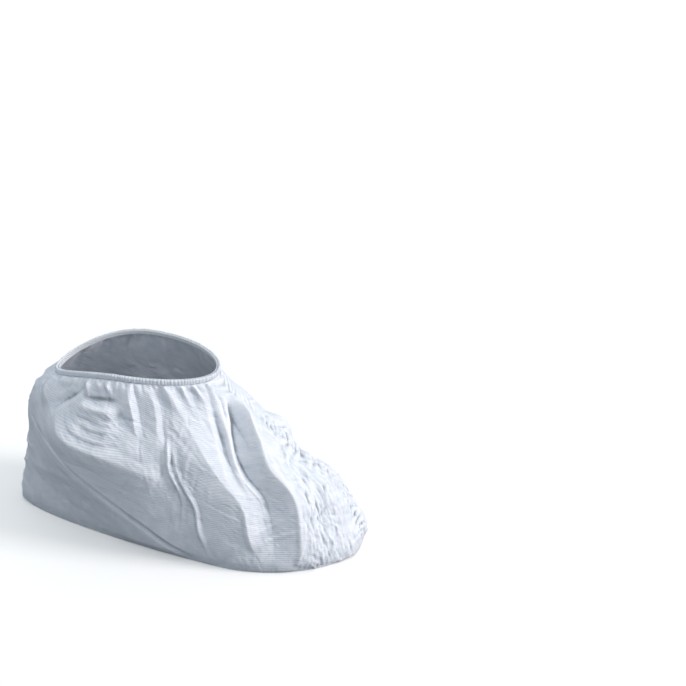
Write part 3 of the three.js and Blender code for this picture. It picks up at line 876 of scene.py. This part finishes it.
def ankle_path(count):
    """Even points once round the hem line, their outward ways, and the length so far."""
    angles = np.linspace(-np.pi, np.pi, LOOP_SAMPLES)
    loop = loop_point(angles, np.zeros_like(angles))
    gone = gone_along(loop)
    even = np.linspace(0, gone[-1], count + 1)
    points = loop_point(np.interp(even, gone, angles), np.zeros(count + 1))
    run = np.roll(points[:-1], -1, axis=0) - np.roll(points[:-1], 1, axis=0)
    run = np.concatenate([run, run[:1]])
    outward = np.stack([run[:, 1], -run[:, 0], np.zeros(count + 1)], -1)
    points[-1] = points[0]
    return points, unit_length(outward), even


def carry_round(path, out, up):
    """Places a section, given as outward and upward lengths, round the ankle."""
    points, outward, _ = path
    rise = np.zeros(up.shape + (3,))
    rise[..., 2] = up
    return points[:, None, :] + outward[:, None, :] * out[..., None] + rise


def round_section(count, power):
    """Closed rounded-rectangle section of half-size 1, as outward and upward parts."""
    angle = np.linspace(0, 2 * np.pi, count + 1)
    parts = (np.cos(angle), np.sin(angle))
    return [np.sign(part) * np.abs(part) ** power for part in parts]


def ankle_hem():
    """Gathered tunnel round the ankle: a row of puffs of uneven size."""
    draw = np.random.default_rng(HEM_SEED)
    path = ankle_path(HEM_BEADS * HEM_STEPS)
    out, up = round_section(HEM_SECTION, HEM_POWER)
    ends = np.concatenate([[0], np.cumsum(draw.uniform(*BEAD_LENGTHS, HEM_BEADS))])
    ends = ends / ends[-1]
    share = np.linspace(0, 1, HEM_BEADS * HEM_STEPS + 1)
    bead = np.clip(np.searchsorted(ends, share, side="right") - 1, 0, HEM_BEADS - 1)
    within = (share - ends[bead]) / (ends[bead + 1] - ends[bead])
    puff = np.sin(np.pi * unit(within)) ** BEAD_POWER * draw.uniform(*BEAD_SIZES, HEM_BEADS)[bead]
    skew = draw.uniform(-BEAD_SKEW, BEAD_SKEW, HEM_BEADS)[bead]
    half_out = HEM_THICKNESS / 2 - HEM_INSET + HEM_PUFF * puff[:, None]
    half_up = HEM_HEIGHT / 2 - HEM_UPPER_PUFF * (1 - puff[:, None]) * (up > 0)
    section_out = HEM_OUT + np.where(out > 0, half_out, HEM_THICKNESS / 2) * out
    section_up = GAP + HEM_HEIGHT / 2 + half_up * up + skew[:, None] * puff[:, None] * np.maximum(out, 0)
    points = carry_round(path, section_out, np.maximum(section_up, GAP))
    return closed_form("ankle_hem_gathers", points, path[2], 2 * (HEM_HEIGHT + HEM_THICKNESS))


def ankle_elastic():
    """Flat knitted elastic inside the hem, with cords along it."""
    path = ankle_path(ELASTIC_STEPS)
    out, up = round_section(ELASTIC_SECTION, ELASTIC_POWER)
    cords = CORD_HEIGHT * np.abs(np.cos(ELASTIC_CORDS * np.pi / 2 * up)) * np.sign(out)
    waves = np.sin(path[2] * 2 * np.pi / ELASTIC_RIPPLE_PITCH)
    ripple = ELASTIC_RIPPLE * waves[:, None] * np.abs(up)[None, :]
    section_out = ELASTIC_OUT + ELASTIC_THICKNESS / 2 * out + cords
    section_up = GAP + HEM_HEIGHT / 2 + ELASTIC_HEIGHT / 2 * up + ripple
    points = carry_round(path, np.broadcast_to(section_out, section_up.shape), section_up)
    return closed_form("ankle_elastic_band", points, path[2], 2 * (ELASTIC_HEIGHT + ELASTIC_THICKNESS))


class SeamLine:
    """Middle of a seam between two cloth edges, with the ways inwards and across."""

    def __init__(self, outer_edge, inner_edge, inward):
        self.points = (outer_edge + inner_edge) / 2
        self.across = unit_length(inner_edge - outer_edge)
        self.inward = unit_length(inward - self.across * np.sum(inward * self.across, -1, keepdims=True))
        self.gone = gone_along(self.points)

    def pick(self, values, lengths):
        """Values at lengths along the seam."""
        return np.stack([np.interp(lengths, self.gone, values[:, k]) for k in range(3)], -1)

    def at(self, lengths, inward, across):
        """Points at lengths along the seam, moved inwards and across."""
        points = self.pick(self.points, lengths) + self.pick(self.inward, lengths) * inward[:, None]
        return points + self.pick(self.across, lengths) * across[:, None]


def ruffle(lengths):
    """Sideways waves of an allowance's free edge."""
    return sum(height * np.sin(lengths * 2 * np.pi / pitch + phase) for height, pitch, phase in RUFFLES)


def seam_allowance(name, seam):
    """Two cloth edges lying together inside the seam, ruffled along their free edge."""
    count = int(seam.gone[-1] / ALLOWANCE_STEP)
    lengths = np.linspace(0, seam.gone[-1], count + 1)
    across, inward = round_section(ALLOWANCE_SECTION, ALLOWANCE_POWER)
    depth = ALLOWANCE_TOP + ALLOWANCE_DEPTH * (inward + 1) / 2
    taper = np.minimum(1, np.minimum(lengths, lengths[::-1]) / ALLOWANCE_TAPER)
    columns = []
    for k in range(ALLOWANCE_SECTION + 1):
        share = (inward[k] + 1) / 2
        sideways = ALLOWANCE_HALF * across[k] * taper + ruffle(lengths) * share
        columns.append(seam.at(lengths, np.full_like(lengths, depth[k]), sideways))
    return closed_form(name, np.stack(columns, 1), lengths, 2 * ALLOWANCE_DEPTH)


def thread_piece(name, paths, radius):
    """Threads along several paths, as one mesh."""
    curve = bpy.data.curves.new(name, "CURVE")
    curve.dimensions = "3D"
    curve.bevel_depth = radius * MM
    curve.bevel_resolution = 0
    curve.use_fill_caps = True
    for path in paths:
        run = curve.splines.new("POLY")
        run.points.add(len(path) - 1)
        run.points.foreach_set("co", np.concatenate([path * MM, np.ones((len(path), 1))], 1).ravel())
    obj = bpy.data.objects.new(name, curve)
    bpy.context.scene.collection.objects.link(obj)
    select(obj)
    bpy.ops.object.convert(target="MESH")
    bpy.ops.object.shade_smooth()
    return obj


def overlock_path(seam):
    """Thread that wraps the free edge of an allowance, once every stitch."""
    count = int(seam.gone[-1] / OVERLOCK_PITCH)
    corners = np.array(OVERLOCK_CORNERS)
    depth = ALLOWANCE_TOP + ALLOWANCE_DEPTH * np.tile(corners[:, 0], count)
    side = (ALLOWANCE_HALF + OVERLOCK_CLEAR) * np.tile(corners[:, 1], count)
    lengths = (np.arange(len(depth)) / len(corners) + OVERLOCK_START) * OVERLOCK_PITCH
    share = (depth - ALLOWANCE_TOP) / ALLOWANCE_DEPTH
    return seam.at(lengths, depth, side + ruffle(lengths) * share)


# Materials
def new_material(name):
    material = bpy.data.materials.new(name)
    material.use_nodes = True
    return material, material.node_tree, material.node_tree.nodes["Principled BSDF"]


def fill(tree, node, values):
    """Sets or links a node's inputs, given by name or number, and returns the node."""
    for key, value in values.items():
        if isinstance(value, bpy.types.NodeSocket):
            tree.links.new(value, node.inputs[key])
        else:
            node.inputs[key].default_value = value
    return node


def scaled(tree, value, scale, *added):
    """Product of two values, with a third added to it if there is one."""
    node = tree.nodes.new("ShaderNodeMath")
    node.operation = "MULTIPLY_ADD" if added else "MULTIPLY"
    return fill(tree, node, dict(enumerate([value, scale, *added]))).outputs[0]


def noise(tree, vector, scale, detail, roughness, kind="FBM"):
    node = tree.nodes.new("ShaderNodeTexNoise")
    node.noise_type = kind
    values = {"Vector": vector, "Scale": scale, "Detail": detail, "Roughness": roughness}
    return fill(tree, node, values).outputs[0]


def wave(tree, vector, direction, pitch, waver):
    """Bands across a direction, with a pitch in the vector's own unit."""
    node = tree.nodes.new("ShaderNodeTexWave")
    node.wave_type = "BANDS"
    node.bands_direction = direction
    return fill(tree, node, {"Vector": vector, "Scale": WAVE_UNIT / pitch, **waver}).outputs[1]


def surface_group():
    """Ribs, fibres, crinkles and mottling of the cloth, with painted shade in its creases and a painted
    highlight on its ridges: a tone and a height in millimetres.
    """
    tree = bpy.data.node_groups.new("spunbond surface", "ShaderNodeTree")
    tree.interface.new_socket("Flat", in_out="INPUT", socket_type="NodeSocketVector")
    for amount in AMOUNTS:
        tree.interface.new_socket(amount.capitalize(), in_out="INPUT", socket_type="NodeSocketFloat")
    for outcome in ("Tone", "Height"):
        tree.interface.new_socket(outcome, in_out="OUTPUT", socket_type="NodeSocketFloat")
    given = tree.nodes.new("NodeGroupInput").outputs
    flat = given["Flat"]
    ribs = wave(tree, flat, "Y", RIB_PITCH / UV_UNIT, RIB_WAVER)
    fibres = noise(tree, flat, *FIBRES)
    clouds = noise(tree, flat, *CLOUDS)
    crinkles = noise(tree, flat, *CRINKLES, kind="RIDGED_MULTIFRACTAL")
    drawn = tree.nodes.new("ShaderNodeVectorMath")
    drawn.operation = "MULTIPLY"
    fill(tree, drawn, {0: flat, 1: (1, UPRIGHT_STRETCH, 1)})
    upright = noise(tree, drawn.outputs[0], *UPRIGHTS, kind="RIDGED_MULTIFRACTAL")
    height = scaled(tree, ribs, RIB_HEIGHT)
    height = scaled(tree, fibres, FIBRE_HEIGHT, height)
    height = scaled(tree, scaled(tree, crinkles, given["Crumple"]), CRINKLE_HEIGHT, height)
    height = scaled(tree, scaled(tree, upright, given["Upright"]), UPRIGHT_HEIGHT, height)
    tone = scaled(tree, fibres, FIBRE_TONE, scaled(tree, clouds, CLOUD_TONE))
    # Painted shade and highlight: the tone darkens in creases and lightens on ridges
    tone = scaled(tree, given["Valley"], -VALLEY_SHADE, tone)
    fill(tree, tree.nodes.new("NodeGroupOutput"), {"Tone": tone, "Height": height})
    return tree


def two_tone(tree, factor, dark, light):
    """Colour between two tones by a factor, going on to a deep shade and a highlight."""
    ramp = fill(tree, tree.nodes.new("ShaderNodeValToRGB"), {"Fac": factor})
    stops = ramp.color_ramp.elements
    stops[0].color = [part * DEEP_SHADE for part in dark[:3]] + [1]
    stops[1].color = [1 - (1 - part) * HIGHLIGHT for part in light[:3]] + [1]
    stops.new(TONE_FROM).color = dark
    stops.new(TONE_TO).color = light
    return ramp.outputs["Color"]


def bumped(tree, height):
    """Normal from a height in millimetres."""
    return fill(tree, tree.nodes.new("ShaderNodeBump"), {"Distance": MM, "Height": height}).outputs["Normal"]


def cloth_map(tree):
    """Flat lengths of the cloth, in units of the UV map."""
    node = tree.nodes.new("ShaderNodeUVMap")
    node.uv_map = "UVMap"
    return node.outputs["UV"]


def cloth_material(name, surface_tree, dark, light):
    material, tree, shader = new_material(name)
    surface = tree.nodes.new("ShaderNodeGroup")
    surface.node_tree = surface_tree
    fill(tree, surface, {"Flat": cloth_map(tree)})
    for kind in AMOUNTS:
        amount = tree.nodes.new("ShaderNodeAttribute")
        amount.attribute_name = kind
        fill(tree, surface, {kind.capitalize(): amount.outputs["Fac"]})
    fill(tree, shader, {
        "Base Color": two_tone(tree, surface.outputs["Tone"], dark, light),
        "Normal": bumped(tree, surface.outputs["Height"]),
        "Roughness": CLOTH_ROUGHNESS,
        "Specular IOR Level": CLOTH_SPECULAR,
    })
    return material


def elastic_material():
    """Narrow knit: cords along the band, crossed by fine rows of loops."""
    material, tree, shader = new_material("elastic knit")
    flat = cloth_map(tree)
    loops = wave(tree, flat, "X", LOOP_PITCH / UV_UNIT, {})
    cords = wave(tree, flat, "Y", CORD_PITCH / UV_UNIT, {})
    knit = scaled(tree, loops, cords)
    tone = scaled(tree, knit, KNIT_TONE, scaled(tree, noise(tree, flat, *KNIT_FUZZ), KNIT_FUZZ_TONE))
    fill(tree, shader, {
        "Base Color": two_tone(tree, tone, ELASTIC_DARK, ELASTIC_LIGHT),
        "Normal": bumped(tree, scaled(tree, knit, LOOP_HEIGHT)),
        "Roughness": ELASTIC_ROUGHNESS,
    })
    return material


def thread_material():
    """Fine twisted thread with a slight gloss."""
    material, tree, shader = new_material("overlock thread")
    place = tree.nodes.new("ShaderNodeTexCoord").outputs["Object"]
    twist = wave(tree, place, "DIAGONAL", TWIST_PITCH * MM, {})
    tone = scaled(tree, twist, TWIST_TONE, scaled(tree, noise(tree, place, *TWIST_FUZZ), TWIST_FUZZ_TONE))
    colour = two_tone(tree, tone, THREAD_DARK, THREAD_LIGHT)
    fill(tree, shader, {"Base Color": colour, "Roughness": THREAD_ROUGHNESS})
    return material


# Stage, light and camera
def soft_sun(name, source, spread, strength):
    """Wide sun that shines from a direction."""
    bpy.ops.object.light_add(type="SUN", location=source)
    sun = bpy.context.active_object
    sun.name = name
    sun.data.angle = math.radians(spread)
    sun.data.energy = strength
    sun.data.color = KEY_COLOUR
    sun.rotation_euler = Vector(source).to_track_quat("Z", "Y").to_euler()


def stage_and_light():
    bpy.ops.mesh.primitive_plane_add(size=FLOOR_SIZE * MM, location=(0, 0, FLOOR_LEVEL * MM))
    floor = bpy.context.active_object
    floor.name = "floor"
    material, tree, shader = new_material("pale floor")
    seen = tree.nodes.new("ShaderNodeLightPath").outputs["Is Camera Ray"]
    colour = tree.nodes.new("ShaderNodeMix")
    colour.data_type = "RGBA"
    fill(tree, colour, {"Factor": seen, MIX_FIRST: FLOOR_BOUNCE, MIX_SECOND: FLOOR_SEEN})
    fill(tree, shader, {
        "Base Color": colour.outputs[MIX_RESULT],
        "Roughness": FLOOR_ROUGHNESS,
        "Emission Color": (1, 1, 1, 1),
        "Emission Strength": scaled(tree, seen, FLOOR_GLOW),
    })
    floor.data.materials.append(material)
    world = bpy.data.worlds.new("studio")
    world.use_nodes = True
    sky = {"Color": SKY_COLOUR, "Strength": SKY_STRENGTH}
    fill(world.node_tree, world.node_tree.nodes["Background"], sky)
    bpy.context.scene.world = world
    soft_sun("key", KEY_FROM, KEY_SPREAD, KEY_STRENGTH)
    soft_sun("top", TOP_FROM, TOP_SPREAD, TOP_STRENGTH)


def photo_camera():
    turned = math.radians(VIEW_AZIMUTH)
    raised = math.radians(VIEW_ELEVATION)
    level = math.cos(raised)
    back = Vector((math.sin(turned) * level, -math.cos(turned) * level, math.sin(raised)))
    right = Vector((math.cos(turned), math.sin(turned), 0))
    up = back.cross(right)
    centre = PHOTO_PIXELS / 2
    off_right = (ORIGIN_PIXEL[0] - centre) / PIXELS_PER_MM
    off_down = (ORIGIN_PIXEL[1] - centre) / PIXELS_PER_MM
    eye = back * VIEW_DISTANCE - right * off_right + up * off_down
    data = bpy.data.cameras.new("camera")
    data.sensor_width = SENSOR_WIDTH
    data.lens = PIXELS_PER_MM * VIEW_DISTANCE * SENSOR_WIDTH / PHOTO_PIXELS
    camera = bpy.data.objects.new("camera", data)
    bpy.context.scene.collection.objects.link(camera)
    turn = Matrix((right, up, back)).transposed().to_4x4()
    camera.matrix_world = Matrix.Translation(eye * MM) @ turn
    bpy.context.scene.camera = camera


stage_and_light()
photo_camera()
bpy.context.scene.view_settings.view_transform = "Standard"

spunbond = surface_group()
cloth = cloth_material("spunbond cloth", spunbond, CLOTH_DARK, CLOTH_LIGHT)
# The seam allowances get a darker copy of the cloth, as painted shade in the seams
seam_cloth = cloth_material("seam allowance cloth", spunbond, SEAM_DARK, SEAM_LIGHT)
elastic_knit = elastic_material()
thread = thread_material()

outer_wall, outer_skin, outer_valley = cloth_skin(OUTER)
inner_wall, inner_skin, inner_valley = cloth_skin(INNER)
outer_half = half_cover("cloth_outer", outer_wall, outer_skin, outer_valley)
inner_half = half_cover("cloth_inner", inner_wall, inner_skin, inner_valley)

# Seams at the front and the heel, which stop short of the corner with the sole seam
seam_lines = {}
for node, column in (("front_seam", 0), ("heel_seam", -1)):
    above = outer_skin[column, :, 2] > SEAM_CORNER
    edges = [skin[column, above] for skin in (outer_skin, inner_skin)]
    seam_lines[node] = SeamLine(*edges, -outer_wall.normals[column, above])
sole_points = np.zeros((SOLE_SEAM_POINTS, 3))
sole_points[:, 0] = np.linspace(
    outer_skin[-1, -1, 0] + SOLE_SEAM_END, outer_skin[0, -1, 0] - SOLE_SEAM_END, SOLE_SEAM_POINTS,
)
sole_edges = [sole_points + (0, side * SEAM_EDGE, 0) for side in (OUTER, INNER)]
seam_lines["sole_seam"] = SeamLine(*sole_edges, np.tile((0.0, 0.0, 1.0), (SOLE_SEAM_POINTS, 1)))

hem = ankle_hem()
elastic = ankle_elastic()
allowances = {node: seam_allowance(node + "_edges", line) for node, line in seam_lines.items()}
thread_paths = [overlock_path(line) for line in seam_lines.values()]
overlock = thread_piece("overlock_thread", thread_paths, THREAD_RADIUS)


def finish_piece(piece, material, slot, *nodes):
    """Gives a piece its material and body, and hides the nodes that it stands for; the slot is not used."""
    piece.data.materials.clear()
    piece.data.materials.append(material)
    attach(piece, "root")
    if nodes:
        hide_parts(*nodes)


finish_piece(outer_half, cloth, "cloth", "side_panel_outer")
finish_piece(inner_half, cloth, "cloth", "side_panel_inner")
finish_piece(hem, cloth, "cloth", "ankle_hem")
finish_piece(elastic, elastic_knit, "elastic", "ankle_elastic")
for node, piece in allowances.items():
    finish_piece(piece, seam_cloth, "seam", node)
finish_piece(overlock, thread, "seam")
